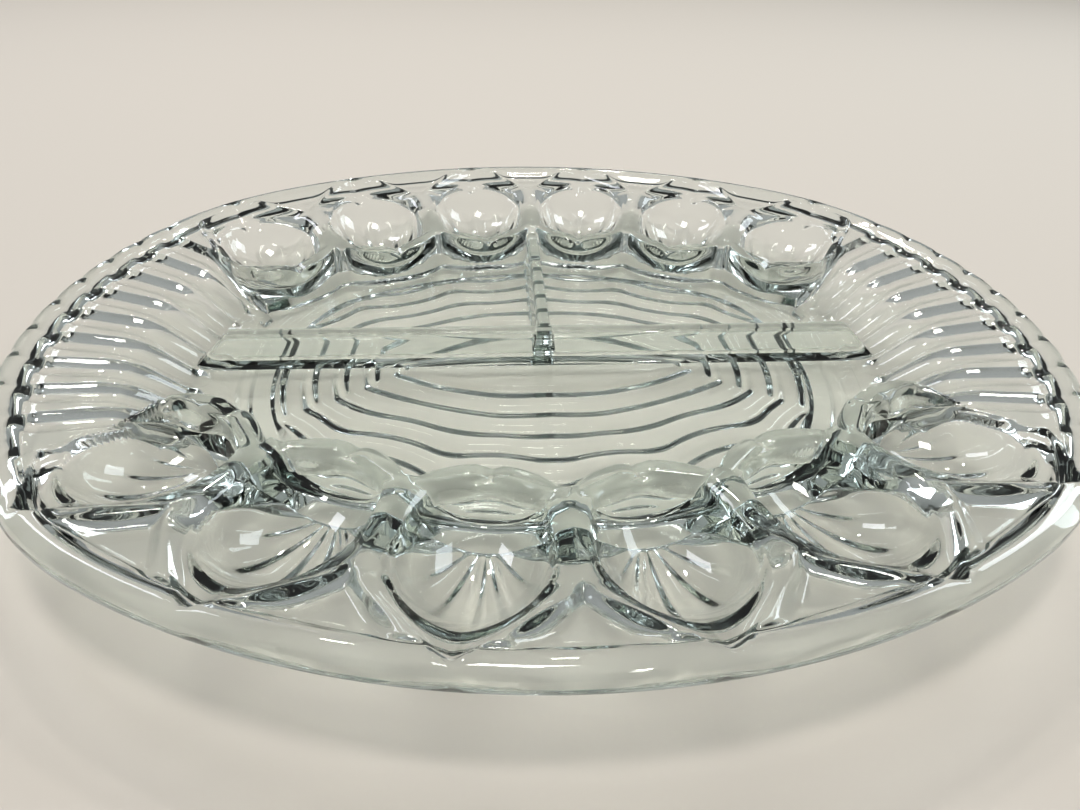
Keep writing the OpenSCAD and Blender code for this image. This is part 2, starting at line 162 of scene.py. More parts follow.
# Fluted shells of the ends
SLOPE = 12.0  # of the outer part
DROP = 42.0  # of the steep part
TURN_SOFT = 5.5  # rounding between the two
FOOT_LAND = 7.6  # floor between the shell's foot and the basin's inset
FOOT_R = 12.0  # rounding at the foot, from which on the flutes run out
FOOT_SOFT = 3.5
SHELL_T = 4.6
FLUTES = 9
FLUTE_PITCH = 6.0
FLUTE_R = 6.8
FLUTE_D = 1.9
FLUTE_START = 13.6
FLUTE_FOOT = 0.8  # how fast a flute runs out at the shell's foot
FLUTE_STEEP = 0.5  # share by which it is deeper down the steep part
FLUTE_ARRIS = 0.22  # rounding of the edges between flutes
FLUTE_FADE = (-0.5, 3.5)  # distances past the edge over which the flutes set in
FLUTE_DEEPEN = (-4.0, 8.0)  # distances from the turn over which they deepen
SHELL_FADE = (2.0, 5.0)  # distances inside the raised zone over which the shell drops away
SHELL_FLAT = -14.0  # from the foot: past it no flute goes below the floor
SHELL_END = 6.0  # from the foot: past it the floor is plain
SHELL_THICKEN = (-4.0, 4.0)  # distances from the turn over which the thickness changes
SHELL_TO_FLOOR = (-8.0, 4.0)  # the same, from the foot

# Basin
FLOOR_Z = 7.0
FLOOR_T = 4.5
DIV_H = 19.0
DIV_TOP = 4.0
DIV_FLANK = 8.0  # slope of the dividers' sides
DIV_NEAR = 6  # no divider reaches further than this from its middle
DIV_EDGE_SOFT = 1.2
DIV_END_SOFT = 2.0
DIV_FOOT_SOFT = 1.0
CROSS_OPEN = 10.0  # stands for the distance to an end, since the cross divider's don't slope
WALL_BACK = 4.5  # thickness of the solid glass under the inner walls, at the floor
WALL_FLANK = 5.0
WALL_FROM = 12.0  # how far outwards from the basin that glass reaches
END_BACK = 4.0  # thickness of the solid glass beside the fluted ends
END_FLANK = 4.0
BACK_SOFT = 2.0
UNDER_TO_END = (-1.5, 1.5)  # distances past the edge over which the shell's underside takes over
UNDER_TO_BASIN = (-3.0, 1.0)  # the same, by inset past the basin's
RIBS = 6
RIB_FIRST = 5.2
RIB_PITCH = 10.0
RIB_H = 1.3
RIB_W = 7.4
RIB_START = (0.5, 3.0)  # distances from the basin's wall over which the ribs set in
RIB_END = 1.0  # length over which the last rib ends
RIB_AT_ZONE = (0.0, 1.5)  # distances past the raised zone over which the ribs set in
WAVE_SOFT = 0.5  # rounding of the outermost rib between two walls
WAVE_SOFTER = 0.22  # how much rounder it gets per millimetre further in
WAVE_FAR = 60
WAVE_SHIFT = 0.12  # share of the rounding by which the ribs move in
WAVE_END_SOFT = 1.0
FOOT_W = 5.0  # foot ring
FOOT_INSET = 8.0  # from the basin's edge
FOOT_FLANK = 0.6
FOOT_RING_SOFT = 0.8

# Grid
FINE = 0.8  # spacing of the columns on the outline
ROW_SPACE = 0.55
RING = 50.0  # inset of the last row that follows the outline
RIM_ROWS = 8
ROUND_ROWS = 6  # rows down each rounding of the outer face
STRAIGHT_ROWS = 4  # rows down the straight part between them
EDGE_FADE = 5.0  # width over which the edge's shift fades inwards
STRIP_ROWS = 150
STRIP_X = 100.0
STRIP_Y = 6.0
STRIP_STRAIGHT = 3  # the larger, the shorter the middle part with straight columns
STRIP_END = 0.045  # share of a quarter's columns that end on the strip's short side
MIN_GLASS = 1.5  # the skins come no nearer to each other

HIGH = 60.0  # a height above everything, for surfaces that don't apply
TINY = 0.01  # keeps a direction defined at the middle of a fan


def unit(angle):
    """Unit vector in the plan, at an angle from the long axis."""
    return np.array([math.cos(math.radians(angle)), math.sin(math.radians(angle))])


def radii(side_break):
    """Radii of the side and end arcs when the corner arc meets the side arc at side_break."""
    side_x, side_y = math.cos(math.radians(side_break)), math.sin(math.radians(side_break)) - 1
    end_x, end_y = 1 - math.cos(math.radians(END_BREAK)), math.sin(math.radians(END_BREAK))
    need_y = CORNER_R * (1 + side_y - end_y) - WIDTH / 2
    need_x = LENGTH / 2 + CORNER_R * (side_x + end_x - 1)
    det = side_y * end_x + end_y * side_x
    return (need_y * end_x + end_y * need_x) / det, (side_y * need_x - side_x * need_y) / det


def well_pitch():
    """Angle between wells on the side arc, whose radius depends on it in turn."""
    side_r = LENGTH / 2
    for _ in range(PITCH_ROUNDS):
        side_r = radii(90 - 2 * math.degrees(WELL_SPACE / side_r))[0]
    return round(math.degrees(WELL_SPACE / side_r), 1)


PITCH = well_pitch()
SIDE_BREAK = 90 - 2 * PITCH
SIDE_R, END_R = radii(SIDE_BREAK)
SIDE_C = np.array([0.0, WIDTH / 2 - SIDE_R])
CORNER_C = SIDE_C + (SIDE_R - CORNER_R) * unit(SIDE_BREAK)
END_C = np.array([LENGTH / 2 - END_R, 0.0])
CORNER_PLACE = SIDE_BREAK - math.degrees(CORNER_SHIFT / CORNER_R)
CORNER_AXIS = SIDE_BREAK - CORNER_LEAN
DECK_Z0 = RIM_H - DECK_STEP
FLOOR_UNDER = FLOOR_Z - FLOOR_T


def smin(a, b, r):
    """Lower of two heights, with a rounding of about r where they cross."""
    h = np.clip(0.5 + 0.5 * (b - a) / r, 0, 1)
    return b + (a - b) * h - r * h * (1 - h)


def smax(a, b, r):
    """Higher of two heights, with a rounding of about r where they cross."""
    return -smin(-a, -b, r)


def step(x, lo, hi):
    """Smooth step from 0 at lo to 1 at hi."""
    t = np.clip((x - lo) / (hi - lo), 0, 1)
    return t * t * (3 - 2 * t)


def mix(a, b, share):
    """Height a where share is 0, and b where it is 1."""
    return a + (b - a) * share


# Plan of the outline and of the grid

ARCS = (
    END_R * math.radians(END_BREAK),
    CORNER_R * math.radians(SIDE_BREAK - END_BREAK),
    SIDE_R * math.radians(90 - SIDE_BREAK),
)


def outline_point(share):
    """Points and outward normals of the first quarter's outline, at shares of its length."""
    end_arc, corner_arc, _ = ARCS
    run = share * sum(ARCS)
    past_end = run - end_arc
    past_corner = past_end - corner_arc
    angle = np.where(
        past_end < 0,
        np.degrees(run / END_R),
        np.where(
            past_corner < 0,
            END_BREAK + np.degrees(past_end / CORNER_R),
            SIDE_BREAK + np.degrees(past_corner / SIDE_R),
        ),
    )
    normal = np.stack([np.cos(np.radians(angle)), np.sin(np.radians(angle))], -1)
    on_end = (angle <= END_BREAK)[:, None]
    on_corner = (angle <= SIDE_BREAK)[:, None]
    rest = np.where(on_corner, CORNER_C + CORNER_R * normal, SIDE_C + SIDE_R * normal)
    return np.where(on_end, END_C + END_R * normal, rest), normal


def quarter_columns():
    """Outline points, normals and strip points of a quarter, from the end to the middle of the side.

    The last value is the number of the column that ends at the strip's corner.
    """
    count = int(sum(ARCS) / FINE)
    point, normal = outline_point(np.linspace(0, 1, count + 1))
    corner = int(round(STRIP_END * count))
    strip = np.zeros((count + 1, 2))
    strip[: corner + 1, 0] = STRIP_X
    strip[: corner + 1, 1] = np.linspace(0, STRIP_Y, corner + 1)
    # the columns run straight to the strip near the middle, and are squeezed further out
    inner_x = (point - RING * normal)[corner:, 0]
    squeeze = STRIP_X / inner_x[0]
    straight = np.clip(1 - STRIP_STRAIGHT * inner_x / inner_x[0], 0, 1) ** 2
    strip[corner:, 0] = inner_x * (squeeze + (1 - squeeze) * straight)
    strip[corner:, 0] *= STRIP_X / strip[corner, 0]
    strip[corner:, 1] = STRIP_Y
    return point, normal, strip, corner


def whole_loop(quarter):
    """Points or normals of the whole loop, from those of its first quarter."""
    back = quarter[::-1]
    mirrored = (quarter, back[1:] * [-1, 1], quarter[1:] * [-1, -1], back[1:-1] * [1, -1])
    return np.concatenate(mirrored)


def inset_of(x, y):
    """Inset from the outline, by the arc that the point's normal meets."""
    x, y = np.abs(x), np.abs(y)
    end_angle = np.degrees(np.arctan2(y - END_C[1], x - END_C[0]))
    side_angle = np.degrees(np.arctan2(y - SIDE_C[1], x - SIDE_C[0]))
    from_end = END_R - np.hypot(x - END_C[0], y - END_C[1])
    from_side = SIDE_R - np.hypot(x - SIDE_C[0], y - SIDE_C[1])
    from_corner = CORNER_R - np.hypot(x - CORNER_C[0], y - CORNER_C[1])
    rest = np.where(side_angle >= SIDE_BREAK, from_side, from_corner)
    return np.where((end_angle <= END_BREAK) & (x > END_C[0]), from_end, rest)


# Egg wells. Wells 0 and 1 of a quarter stand on its side arc, and CORNER_WELL leans.
# Each function here takes points of the first quarter, or of its mirror image in X.

# Wells that reach into a quarter: number, and 1 or -1 for its own side or the mirrored one
REACHING = ((0, 1), (1, 1), (CORNER_WELL, 1), (0, -1))


def axis_frame(origin, axis, x, y):
    """Distance inwards from the origin against the axis, and distance to the axis's left."""
    dx, dy = x - origin[0], y - origin[1]
    return -(dx * axis[0] + dy * axis[1]), dx * -axis[1] + dy * axis[0]


def well_axis(k):
    """Origin on the outline and outward direction of a well."""
    if k == CORNER_WELL:
        return CORNER_C + CORNER_R * unit(CORNER_PLACE), unit(CORNER_AXIS)
    axis = unit(90 - PITCH * (k + 0.5))
    return SIDE_C + SIDE_R * axis, axis


def well_frame(k, x, y):
    """Distance inwards along a well's axis, and to its left."""
    return axis_frame(*well_axis(k), x, y)


def web_frame(j, x, y):
    """The same for web j between two wells: web 0 is at the middle of the side."""
    axis = unit(90 - PITCH * j)
    return axis_frame(SIDE_C + SIDE_R * axis, axis, x, y)


def well_cut(k):
    """How much shorter than the others a well is."""
    return CORNER_SHORT if k == CORNER_WELL else 0.0


def arc_radius(half_chord, rise):
    """Radius of an arc from half its chord and its rise."""
    return (half_chord**2 + rise**2) / (2 * rise)


def bowl_radius(v, crease, grow):
    """Radius of a bowl's section at v: an arc to the tip, an arc to the crease, the inner wall."""
    nose = arc_radius(MID - TIP, WELL_R)
    tail = arc_radius(crease - MID, WELL_R - CREASE_R)
    nose_r = WELL_R - nose + np.sqrt(np.maximum((nose + grow) ** 2 - (v - MID) ** 2, 0))
    tail_r = WELL_R - tail + np.sqrt(np.maximum((tail + grow) ** 2 - (v - MID) ** 2, 0))
    wall_r = CREASE_R + grow + (v - crease) * (WALL_TOP_R - CREASE_R) / WALL_RUN
    return np.maximum(np.where(v < MID, nose_r, smin(tail_r, wall_r, CREASE_SOFT)), 0)


def deck(u):
    """Height of the sloping deck by inset."""
    return DECK_Z0 - DECK_FALL * (u - RIM_W)


def lip_height(v, w):
    """V-shaped lip through the rim, with a steep edge; it fades out over the bowl."""
    below = LIP_FALL * (v - LIP_START) - LIP_SIDE * np.abs(w)
    z = RIM_H - below - LIP_EDGE * (1 - np.exp(-np.maximum(below, 0) / LIP_EDGE_FALL))
    return z + HIGH * step(v, *LIP_FADE) ** 2


def bowl_top(k, x, y):
    """Height of a bowl's inside with its lip, and distance from the bowl's edge."""
    v, w = well_frame(k, x, y)
    r = bowl_radius(v, CREASE - well_cut(k), 0.0)
    axis_z = deck(v) + AXIS_LIFT
    inside = r * r - w * w
    beside = axis_z + (np.abs(w) - r) * OUTSIDE_SLOPE
    bowl = np.where(inside <= 0, beside, axis_z - np.sqrt(np.maximum(inside, 0)))
    away = np.hypot(np.maximum(np.abs(w) - r, 0), np.maximum(TIP - v, 0))
    return smin(bowl, lip_height(v, w), LIP_SOFT), away


def petals(v, w, crease):
    """Depth of the petals under a bowl, which fan out from near the middle of its crease."""
    reach = crease - PETAL_ROOT - v
    fan = np.degrees(np.arctan2(w, np.maximum(reach, TINY)))
    off = (fan % PETAL_STEP - PETAL_STEP / 2) / (PETAL_STEP / 2)
    petal = 0.5 * (1 - off**2) + 0.5 * np.cos(off * math.pi / 2) ** 2
    fade = step(np.hypot(w, reach), 0.0, PETAL_FADE)
    fade = fade * step(v, *PETAL_TIP_FADE) * step(reach, 0.0, PETAL_ROOT_FADE)
    return PETAL_D * petal * fade


def bowl_under(k, x, y):
    """Height of a bowl's outside with its petals, and of the underside of its lip."""
    v, w = well_frame(k, x, y)
    crease = CREASE - well_cut(k)
    r = bowl_radius(v, crease, WELL_T)
    inside = r * r - w * w
    depth = np.sqrt(np.maximum(inside, 0))
    bowl = deck(v) + AXIS_LIFT - depth + petals(v, w, crease) * depth / np.maximum(r, MIN_BOWL_R)
    return smin(np.where(inside <= 0, HIGH, bowl), lip_height(v, w) - WELL_T, LIP_UNDER_SOFT)


# Plan of the raised zone: deck, wells and inner walls

EDGE_DIR = unit(CORNER_AXIS - 90)
EDGE_P = well_axis(CORNER_WELL)[0] + CORNER_HALF * EDGE_DIR
BULGE_EXIT = BULGE_INSET - CORNER_SHORT - BULGE_R + math.sqrt(BULGE_R**2 - CORNER_HALF**2)


def edge_distance(x, y):
    """Distance past the edge between a corner well and the fluted end."""
    return (x - EDGE_P[0]) * EDGE_DIR[0] + (y - EDGE_P[1]) * EDGE_DIR[1]


def bulge_distances(x, y):
    """Distances from the round inner walls of the wells that reach into a quarter."""
    out = []
    for k, side in REACHING:
        v, w = well_frame(k, side * x, y)
        out.append(np.hypot(v - (BULGE_INSET - well_cut(k) - BULGE_R), w) - BULGE_R)
    return out


def tab_distance(j, x, y, wide, reach):
    """Distance from the square tab at the inner end of web j: below zero on it."""
    v, w = web_frame(j, x, y)
    dx = np.abs(v - BASIN_INSET) - reach + TAB_ROUND
    dy = np.abs(w) - wide / 2 + TAB_ROUND
    within = np.minimum(np.maximum(dx, dy), 0)
    return within + np.hypot(np.maximum(dx, 0), np.maximum(dy, 0)) - TAB_ROUND


def zone_distance(x, y, u):
    """Distance past the raised zone: above zero in the basin and in the fluted ends."""
    v_corner, _ = well_frame(CORNER_WELL, x, y)
    across = unit(SIDE_BREAK - 90)
    past_web = (x - SIDE_C[0]) * across[0] + (y - SIDE_C[1]) * across[1]
    past_corner = np.where(past_web > 0, v_corner - BULGE_EXIT, -HIGH)
    d = np.maximum(u - BASIN_INSET, past_corner)
    for bulge in bulge_distances(x, y):
        d = smin(d, bulge, ZONE_SOFT)
    for j in range(3):
        d = smin(d, tab_distance(j, x, y, TAB_W, TAB_REACH), ZONE_SOFT)
    return smax(d, edge_distance(x, y), CORNER_SOFT)


# Fluted shells of the ends

SLOPE_TAN = math.tan(math.radians(SLOPE))
DROP_TAN = math.tan(math.radians(DROP))
FOOT_U = BASIN_INSET - FOOT_LAND
FOOT_SIDE = FOOT_R * math.tan(math.radians(DROP / 2))
TURN = (FOOT_U - (DECK_Z0 + RIM_W * SLOPE_TAN - FLOOR_Z) / DROP_TAN) / (1 - SLOPE_TAN / DROP_TAN)
TURN_Z = DECK_Z0 - (TURN - RIM_W) * SLOPE_TAN


def shell(u):
    """Height of the shell by inset, rounded at the turn and at the floor."""
    z = smin(TURN_Z - (u - TURN) * SLOPE_TAN, TURN_Z - (u - TURN) * DROP_TAN, TURN_SOFT)
    return smax(z, np.full_like(u, FLOOR_Z), FOOT_SOFT)


def flute_cut(x, y, u):
    """Depth of the flutes under the shell, with rounded edges between them."""
    angle = np.degrees(np.arctan2(y - END_C[1], x - END_C[0]))
    span = FLUTES * FLUTE_PITCH / 2
    off = (angle + FLUTE_PITCH / 2) % FLUTE_PITCH - FLUTE_PITCH / 2
    off = np.where(np.abs(angle) > span, np.abs(angle) - span + FLUTE_PITCH / 2, off)
    w = np.radians(off) * np.hypot(x - END_C[0], y - END_C[1])
    before = np.maximum(FLUTE_START - u, 0)
    after = np.maximum(u - (FOOT_U - FOOT_SIDE), 0)
    depth = FLUTE_D * (1 + FLUTE_STEEP * step(u - TURN, *FLUTE_DEEPEN))
    cut = depth - (w * w + before * before + FLUTE_FOOT * after * after) / (2 * FLUTE_R)
    return smax(cut, np.zeros_like(cut), FLUTE_ARRIS) - FLUTE_ARRIS / 4


# Upper skin


def web_hollow(x, y):
    """1 in the triangular hollow between two wells, next to the rim."""
    length = HOLLOW_IN - HOLLOW_OUT
    flank = math.hypot(length, HOLLOW_W / 2)
    out = np.zeros_like(x)
    for j in range(3):
        v, w = web_frame(j, x, y)
        side = (HOLLOW_W / 2 * (HOLLOW_IN - v) - np.abs(w) * length) / flank
        within = smin(side, v - HOLLOW_OUT + HOLLOW_SHIFT, HOLLOW_SOFT)
        out = np.maximum(out, step(within, *HOLLOW_FLANK))
    return out


def tab_pads(x, y):
    """1 on the square pads at the inner ends of the webs."""
    out = np.zeros_like(x)
    for j in range(3):
        distance = tab_distance(j, x, y, PAD_W, PAD_LEN / 2)
        out = np.maximum(out, 1 - step(distance, *PAD_FLANK))
    return out


def web_top(x, y, u, away):
    """Height of the webs, at the distance away from the nearest bowl's edge."""
    roll = 1 - np.clip(1 - away / ROLL_W, 0, 1) ** 2
    rise = ROLL_RISE + ROLL_RISE_RIM * (1 - step(u, *ROLL_RIM))
    z = deck(u) - ROLL_SINK + rise * roll - HOLLOW * web_hollow(x, y)
    return mix(z, deck(BASIN_INSET) + TAB_RISE, tab_pads(x, y))


def rim_top(u, edge):
    """Height of the rim band: crowned along the wells, and stepped down to the shells."""
    crown = RIM_CROWN * ((u - CROWN_LINE) / (RIM_W - CROWN_LINE)) ** 2
    shoulder = DECK_STEP * step(u, *RIM_SHOULDER)
    return RIM_H - mix(crown, shoulder, step(edge, *RIM_TO_END))


def end_top(x, y, u, edge):
    """Height of the fluted shell and of the basin's floor."""
    z = shell(u) - flute_cut(x, y, u) * step(edge, *FLUTE_FADE)
    z = np.where(u > FOOT_U + SHELL_FLAT, np.maximum(z, FLOOR_Z), z)
    return np.where(u > FOOT_U + SHELL_END, FLOOR_Z, z)


def divider(across, to_end):
    """Height of a divider by the distance across it and the distance to its end."""
    flank = DIV_H - (np.abs(across) - DIV_TOP / 2) * DIV_FLANK
    z = smin(flank, np.full_like(flank, DIV_H), DIV_EDGE_SOFT)
    return smin(z, DIV_H + to_end, DIV_END_SOFT)


def top_skin(x, y, u):
    """Height of the upper skin at points of the plan with insets u."""
    ax, ay = np.abs(x), np.abs(y)
    zone = zone_distance(ax, ay, u)
    edge = edge_distance(ax, ay)
    rim = rim_top(u, edge)
    on_rim = 1 - step(u, *RIM_BLEND)
    bowls = [bowl_top(k, side * ax, ay) for k, side in REACHING]
    away = np.min([away for _, away in bowls], axis=0)
    z = mix(web_top(ax, ay, u, away), rim, on_rim)
    for bowl, _ in bowls:
        z = smin(z, bowl, BOWL_SOFT)
    wall_slope = WALL_SLOPE + WALL_STEEPER * step(u, *WALL_STEEPEN)
    z = smin(z, RIM_H - wall_slope * (zone + WALL_SHIFT), WALL_SOFT)
    end = mix(end_top(ax, ay, u, edge), rim, on_rim)
    end = end - HIGH * step(-edge, *SHELL_FADE) * step(-zone, *SHELL_FADE)
    z = smax(z, end, BOWL_SOFT)
    z = np.minimum(mix(z, rim, on_rim * step(edge, *RIM_OVER_END)), RIM_H)
    long_z = np.where(ay < DIV_NEAR, divider(y, LENGTH / 2 - BASIN_INSET - ax), -HIGH)
    cross_z = divider(x, np.full_like(x, CROSS_OPEN))
    cross_z = np.where((ax < DIV_NEAR) & (y > 0), cross_z, -HIGH)
    return smax(z, np.maximum(long_z, cross_z), DIV_FOOT_SOFT)


# Lower skin


def rib_distance(x, y, u):
    """Distance into the basin from its wavy edge, smoother the further in."""
    first, *others = bulge_distances(x, y)
    d = first
    for bulge in others:
        soft = WAVE_SOFT + WAVE_SOFTER * np.clip(np.minimum(d, bulge), 0, WAVE_FAR)
        d = smin(d, bulge, soft) + WAVE_SHIFT * soft
    return smin(d, u - BASIN_INSET, WAVE_END_SOFT)


def ribs(d):
    """Height of the ribs under the floor at distance d from the basin's wall."""
    off = (d - RIB_FIRST + RIB_PITCH / 2) % RIB_PITCH - RIB_PITCH / 2
    bump = np.cos(np.clip(off / RIB_W, -0.5, 0.5) * math.pi) ** 2
    last = RIBS * RIB_PITCH
    return RIB_H * bump * step(d, *RIB_START) * (1 - step(d, last, last + RIB_END))


def end_under(u):
    """Underside of the shell and of the basin's floor."""
    flat_t = SHELL_T / math.cos(math.radians(SLOPE))
    steep_t = SHELL_T / math.cos(math.radians(DROP))
    thick = mix(flat_t, steep_t, step(u - TURN, *SHELL_THICKEN))
    thick = mix(thick, FLOOR_T, step(u - FOOT_U, *SHELL_TO_FLOOR))
    return np.maximum(shell(u) - thick, FLOOR_UNDER)


def rim_under(u, edge, end):
    """Rounded underside of the rim, which runs into the underside of the shells."""
    bottom = RIM_H - RIM_FACE
    rise = mix(RIM_BELLY, end - bottom, step(edge, *BELLY_TO_END))
    return bottom + rise * (np.maximum(u - CROWN_LINE, 0) / (RIM_W - CROWN_LINE)) ** 2


def under_skin(x, y, u):
    """Height of the lower skin at points of the plan with insets u."""
    x, y = np.abs(x), np.abs(y)
    zone = zone_distance(x, y, u)
    edge = edge_distance(x, y)
    z = deck(u) - DECK_T
    for k, side in REACHING:
        z = smin(z, bowl_under(k, side * x, y), UNDER_SOFT)
    # the glass is solid under the inner walls, and beside the fluted ends
    end = end_under(u)
    wall = FLOOR_UNDER + WALL_FLANK * np.maximum(BASIN_INSET - WALL_BACK - u, 0)
    z = smin(z, np.where(u > BASIN_INSET - WALL_FROM, wall, HIGH), BACK_SOFT)
    z = smin(z, end + END_FLANK * np.maximum(-edge - END_BACK, 0), BACK_SOFT)
    past_edge = step(edge, *UNDER_TO_END)
    past_basin = step(u - BASIN_INSET, *UNDER_TO_BASIN)
    z = mix(z, end, np.maximum(past_edge, past_basin))
    z = mix(z, rim_under(u, edge, end), 1 - step(u, *BELLY_BLEND))
    z = z - ribs(rib_distance(x, y, u)) * step(zone, *RIB_AT_ZONE)
    ring = np.abs(u - (BASIN_INSET + FOOT_INSET + FOOT_W / 2)) - FOOT_W / 2
    return np.maximum(smin(z, np.maximum(ring * FOOT_FLANK, 0), FOOT_RING_SOFT), 0)


# Mesh


def scallop(x, y):
    """Inwards shift of the outline at the fluted ends."""
    x, y = np.abs(x), np.abs(y)
    angle = np.degrees(np.arctan2(y, x - END_C[0]))
    pitch = 2 * END_BREAK / (SCALLOPS - 1)
    off = (angle + pitch / 2) % pitch - pitch / 2
    inner_r = END_R - SCALLOP_R
    w = np.radians(off) * inner_r
    lobe_r = np.sqrt(np.maximum(SCALLOP_R**2 - w**2, 0)) + inner_r * np.cos(np.radians(off))
    return np.where((angle < END_BREAK) & (x > END_C[0]), END_R - lobe_r, 0.0)


def ring_rows(point, normal, shift):
    """Rows of the grid that follow the outline, and their insets."""
    on_rim = np.linspace(RIM_ROUND, RIM_W, RIM_ROWS)[:-1]
    inside = np.linspace(RIM_W, RING, int((RING - RIM_W) / ROW_SPACE))
    insets = np.concatenate([on_rim, inside])
    fade = np.clip(1 - (insets - RIM_ROUND) / EDGE_FADE, 0, 1)
    return [point - (u + shift * f) * normal for u, f in zip(insets, fade)], insets


def face_profile():
    """Insets and heights of the rows down the outer face, from its upper rounding to its lower."""
    bottom = RIM_H - RIM_FACE
    upper = np.radians(np.linspace(0, 90, ROUND_ROWS + 1)[1:])
    middle = np.linspace(RIM_H - RIM_ROUND, bottom + RIM_FOOT, STRAIGHT_ROWS + 2)[1:-1]
    lower = np.radians(np.linspace(0, 90, ROUND_ROWS))
    insets = (RIM_ROUND * (1 - np.sin(upper)), 0 * middle, RIM_FOOT * (1 - np.cos(lower)))
    heights = (
        RIM_H - RIM_ROUND * (1 - np.cos(upper)),
        middle,
        bottom + RIM_FOOT * (1 - np.sin(lower)),
    )
    return zip(np.concatenate(insets), np.concatenate(heights))


def strip_index(corner, columns, last, first):
    """Vertex numbers over the strip: its border is the last row of the grid."""
    quarter = columns // 4
    down = np.arange(2 * corner + 1)
    along = np.arange(2 * (quarter - corner) + 1)
    index = np.zeros((len(down), len(along)), int)
    index[:, 0] = last + (corner - down) % columns
    index[:, -1] = last + 2 * quarter - corner + down
    index[0] = last + corner + along
    index[-1] = last + (columns - corner - along) % columns
    inner = index[1:-1, 1:-1]
    inner[:] = first + np.arange(inner.size).reshape(inner.shape)
    return index


def quads(a, b, c, d):
    """Faces from four equal arrays of corner numbers."""
    return np.stack([a.ravel(), b.ravel(), c.ravel(), d.ravel()], -1)


def mesh_platter():
    """Vertices in metres and quads of the closed glass body."""
    *quarter, corner = quarter_columns()
    point, normal, border = (whole_loop(part) for part in quarter)
    columns = len(point)
    shift = (scallop(point[:, 0], point[:, 1]) + SIDE_SHY * normal[:, 1] ** 2)[:, None]
    rows, insets = ring_rows(point, normal, shift)
    base = point - RING * normal
    rows += [base * (1 - t) + border * t for t in np.linspace(0, 1, STRIP_ROWS + 1)[1:]]
    grid = np.concatenate(rows)
    strip_x = border[corner + 1 : columns // 2 - corner, 0]
    strip_y = np.concatenate([border[:corner, 1][::-1], -border[1:corner, 1]])
    inner = np.stack(np.meshgrid(strip_x, strip_y), -1).reshape(-1, 2)
    plan = np.concatenate([grid, inner])
    count = len(plan)

    # rows on the rim keep their nominal insets, so the scallops don't show on its top
    u = inset_of(plan[:, 0], plan[:, 1])
    u[: len(insets) * columns] = np.repeat(insets, columns)
    top_z = top_skin(plan[:, 0], plan[:, 1], u)
    under_z = np.minimum(under_skin(plan[:, 0], plan[:, 1], u), top_z - MIN_GLASS)
    face = [
        np.column_stack([point - (inset + shift) * normal, np.full(columns, z)])
        for inset, z in face_profile()
    ]
    verts = np.concatenate([np.column_stack([plan, top_z]), np.column_stack([plan, under_z]), *face])

    index = np.arange(len(grid)).reshape(-1, columns)
    after = np.roll(index, -1, axis=1)
    strip = strip_index(corner, columns, len(grid) - columns, len(grid))
    top_faces = np.concatenate(
        [
            quads(index[:-1], after[:-1], after[1:], index[1:]),
            quads(strip[:-1, :-1], strip[:-1, 1:], strip[1:, 1:], strip[1:, :-1]),
        ]
    )
    outer = 2 * count + np.arange(len(face) * columns).reshape(-1, columns)
    chain = np.vstack([index[0], outer, count + index[0]])
    beside = np.roll(chain, -1, axis=1)
    face_faces = quads(chain[:-1], chain[1:], beside[1:], beside[:-1])
    return verts * MM, np.concatenate([top_faces, top_faces[:, ::-1] + count, face_faces])


def add_mesh(name, verts, faces):
    """Smooth-shaded object in the scene from arrays of vertices and quads."""
    mesh = bpy.data.meshes.new(name)
    mesh.vertices.add(len(verts))
    mesh.vertices.foreach_set("co", verts.astype(np.float32).ravel())
    mesh.loops.add(faces.size)
    mesh.loops.foreach_set("vertex_index", faces.astype(np.int32).ravel())
    mesh.polygons.add(len(faces))
    mesh.polygons.foreach_set("loop_start", np.arange(0, faces.size, 4, dtype=np.int32))
    mesh.update(calc_edges=True)
    mesh.validate()
    mesh.polygons.foreach_set("use_smooth", np.ones(len(mesh.polygons), bool))
    obj = bpy.data.objects.new(name, mesh)
    bpy.context.scene.collection.objects.link(obj)
    return obj


# Looks. Colours are linear, and places, sizes and depths are in metres from here on.

GLASS_TINT = (0.965, 0.985, 0.975, 1)
GLASS_ROUGHNESS = 0.02
GLASS_IOR = 1.51
ABSORB_TINT = (0.58, 0.72, 0.67, 1)
ABSORB_DENSITY = 17.0
RIPPLE_SCALE = 90.0
RIPPLE_DETAIL = 2.0
RIPPLE_STRENGTH = 0.08
RIPPLE_DEPTH = 0.0004
# Light that the glass lets into its own shadow, by how upright its normal is
SHADOW_STEEP = (0.60, (0.04, 0.045, 0.042, 1))
SHADOW_FLAT = (0.985, (0.42, 0.44, 0.43, 1))
FLOOR_COLOUR = (0.62, 0.575, 0.52, 1)
FLOOR_ROUGHNESS = 0.8
FLOOR_SPECULAR = 0.2
FLOOR_HALF = 5.0
FLOOR_GAP = 0.0001  # under the foot, so that the two faces don't coincide


def new_material(name):
    """Material with an empty node tree."""
    mat = bpy.data.materials.new(name)
    mat.use_nodes = True
    nodes, links = mat.node_tree.nodes, mat.node_tree.links
    nodes.clear()
    return mat, nodes, links


def set_ramp(ramp, *stops):
    """Give a colour ramp's stops their positions and colours."""
    for element, (position, colour) in zip(ramp.color_ramp.elements, stops):
        element.position = position
        element.color = colour


